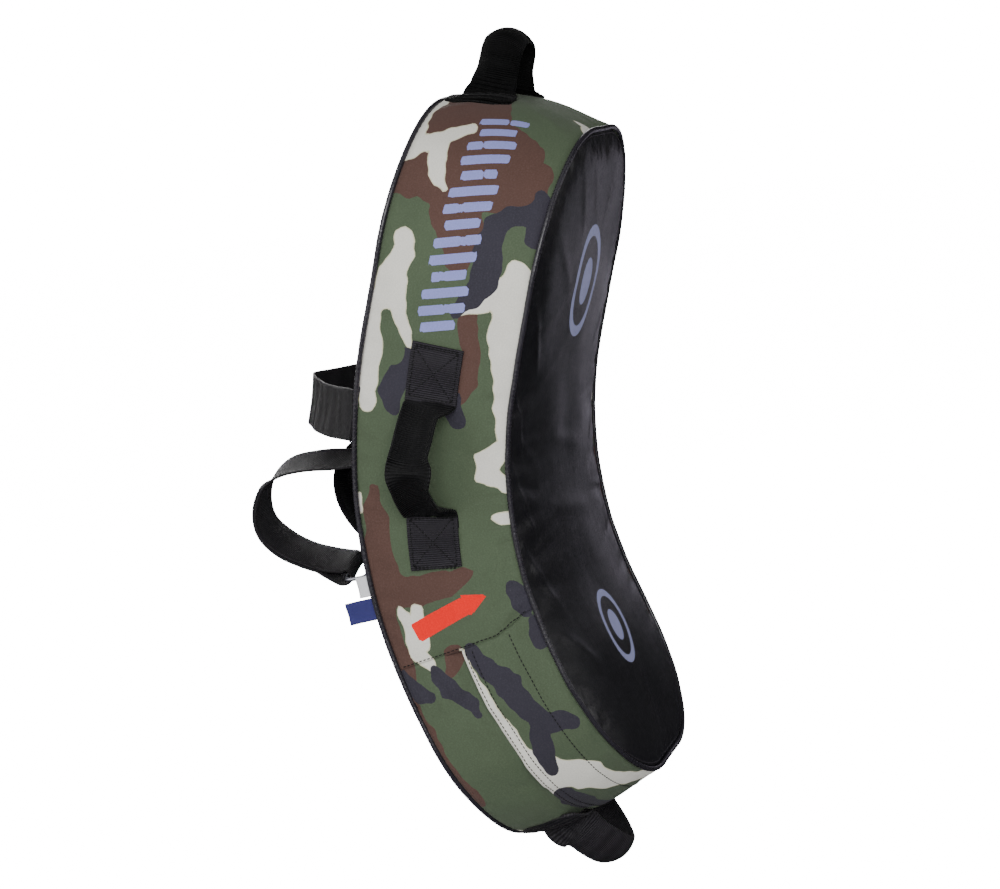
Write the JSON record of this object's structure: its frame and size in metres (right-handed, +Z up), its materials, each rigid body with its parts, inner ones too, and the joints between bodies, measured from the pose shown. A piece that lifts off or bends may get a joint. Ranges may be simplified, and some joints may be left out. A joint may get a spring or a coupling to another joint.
{
  "type": "kick shield",
  "caption": "Curved foam kick shield in a sewn cover, with webbing side and end handles, a full-width arm strap, an adjustable arm strap with ring, and a hand grip.",
  "frame": {"origin": "centre of the shield's overall box, handles and straps included, which lies inside the foam near mid-length", "axes": "+Z up along the length, +Y out of the back where the arm straps are, so -Y is the strike face, +X across the width"},
  "size_m": [0.4426, 0.3658, 0.8448],
  "materials": {
    "foam": "matte open foam",
    "strike_foam": "matte dense foam",
    "back_foam": "matte foam",
    "faux_leather": "satin, softly creased",
    "back_fabric": "matte woven",
    "camo_fabric": "matte woven print in four colours",
    "hook_and_loop": "matte pile",
    "webbing": "ribbed, slight sheen",
    "ring_metal": "satin nickel",
    "white_tag": "satin",
    "blue_tag": "satin"
  },
  "bodies": {
    "shield": {"core_foam": "foam", "strike_foam": "strike_foam", "back_foam": "back_foam", "strike_panel": "faux_leather", "front_piping": "faux_leather", "back_piping": "faux_leather", "back_panel": "back_fabric", "upper_gusset": "camo_fabric", "closure_flap": "camo_fabric", "lower_gusset": "camo_fabric", "flap_hook_tape": "hook_and_loop", "gusset_loop_tape": "hook_and_loop", "left_handle_top_patch": "webbing", "left_handle_bottom_patch": "webbing", "right_handle_top_patch": "webbing", "right_handle_bottom_patch": "webbing", "top_handle_left_end": "webbing", "top_handle_right_end": "webbing", "bottom_handle_left_end": "webbing", "bottom_handle_right_end": "webbing", "upper_strap_left_end": "webbing", "upper_strap_right_end": "webbing", "arm_strap_patch": "webbing", "ring_tab_patch": "webbing", "hand_grip_top_patch": "webbing", "hand_grip_bottom_patch": "webbing"},
    "left_handle": {"left_handle_grip": "webbing"},
    "right_handle": {"right_handle_grip": "webbing"},
    "top_handle": {"top_handle_grip": "webbing"},
    "bottom_handle": {"bottom_handle_grip": "webbing"},
    "upper_strap": {"upper_arm_strap": "webbing"},
    "arm_strap": {"arm_strap": "webbing", "arm_strap_hook_patch": "hook_and_loop", "ring_tab": "webbing"},
    "ring": {"strap_ring": "ring_metal"},
    "hand_grip": {"hand_grip": "webbing"},
    "white_tag": {"white_tag": "white_tag"},
    "blue_tag": {"blue_tag": "blue_tag"}
  },
  "joints": [
    {"name": "left_handle_swing", "type": "hinge", "parent": "shield", "child": "left_handle", "pos_m": [-0.1873, -0.02608, 0.0287], "axis": [0, -0.1115, 0.9938], "range_deg": [-50, 70]},
    {"name": "right_handle_swing", "type": "hinge", "parent": "shield", "child": "right_handle", "pos_m": [0.1873, -0.02608, 0.0287], "axis": [0, 0.1115, -0.9938], "range_deg": [-50, 70]},
    {"name": "top_handle_swing", "type": "hinge", "parent": "shield", "child": "top_handle", "pos_m": [0, -0.08618, 0.3606], "axis": [1, 0, 0], "range_deg": [-55, 55]},
    {"name": "bottom_handle_swing", "type": "hinge", "parent": "shield", "child": "bottom_handle", "pos_m": [0, -0.08076, -0.36796], "axis": [-1, 0, 0], "range_deg": [-85, 35]},
    {"name": "upper_strap_swing", "type": "hinge", "parent": "shield", "child": "upper_strap", "pos_m": [0, 0.05318, 0.07481], "axis": [1, 0, 0], "range_deg": [-8, 30]},
    {"name": "arm_strap_swing", "type": "hinge", "parent": "shield", "child": "arm_strap", "pos_m": [-0.105, 0.06157, -0.02744], "axis": [0, 0.0066, 1], "range_deg": [-8, 25]},
    {"name": "hand_grip_swing", "type": "hinge", "parent": "shield", "child": "hand_grip", "pos_m": [-0.04, 0.05995, -0.01221], "axis": [0, -0.0209, 0.9998], "range_deg": [-35, 8]},
    {"name": "ring_rock", "type": "hinge", "parent": "arm_strap", "child": "ring", "pos_m": [-0.105, 0.06969, -0.08007], "axis": [0.9781, 0.0207, 0.2069], "range_deg": [-5, 5]},
    {"name": "white_tag_bend", "type": "hinge", "parent": "shield", "child": "white_tag", "pos_m": [-0.1745, 0.05412, -0.08818], "axis": [0, 0.1169, 0.9931], "range_deg": [-75, 75]},
    {"name": "blue_tag_bend", "type": "hinge", "parent": "shield", "child": "blue_tag", "pos_m": [-0.1745, 0.05099, -0.1107], "axis": [0, 0.1577, 0.9875], "range_deg": [-75, 75]}
  ]
}
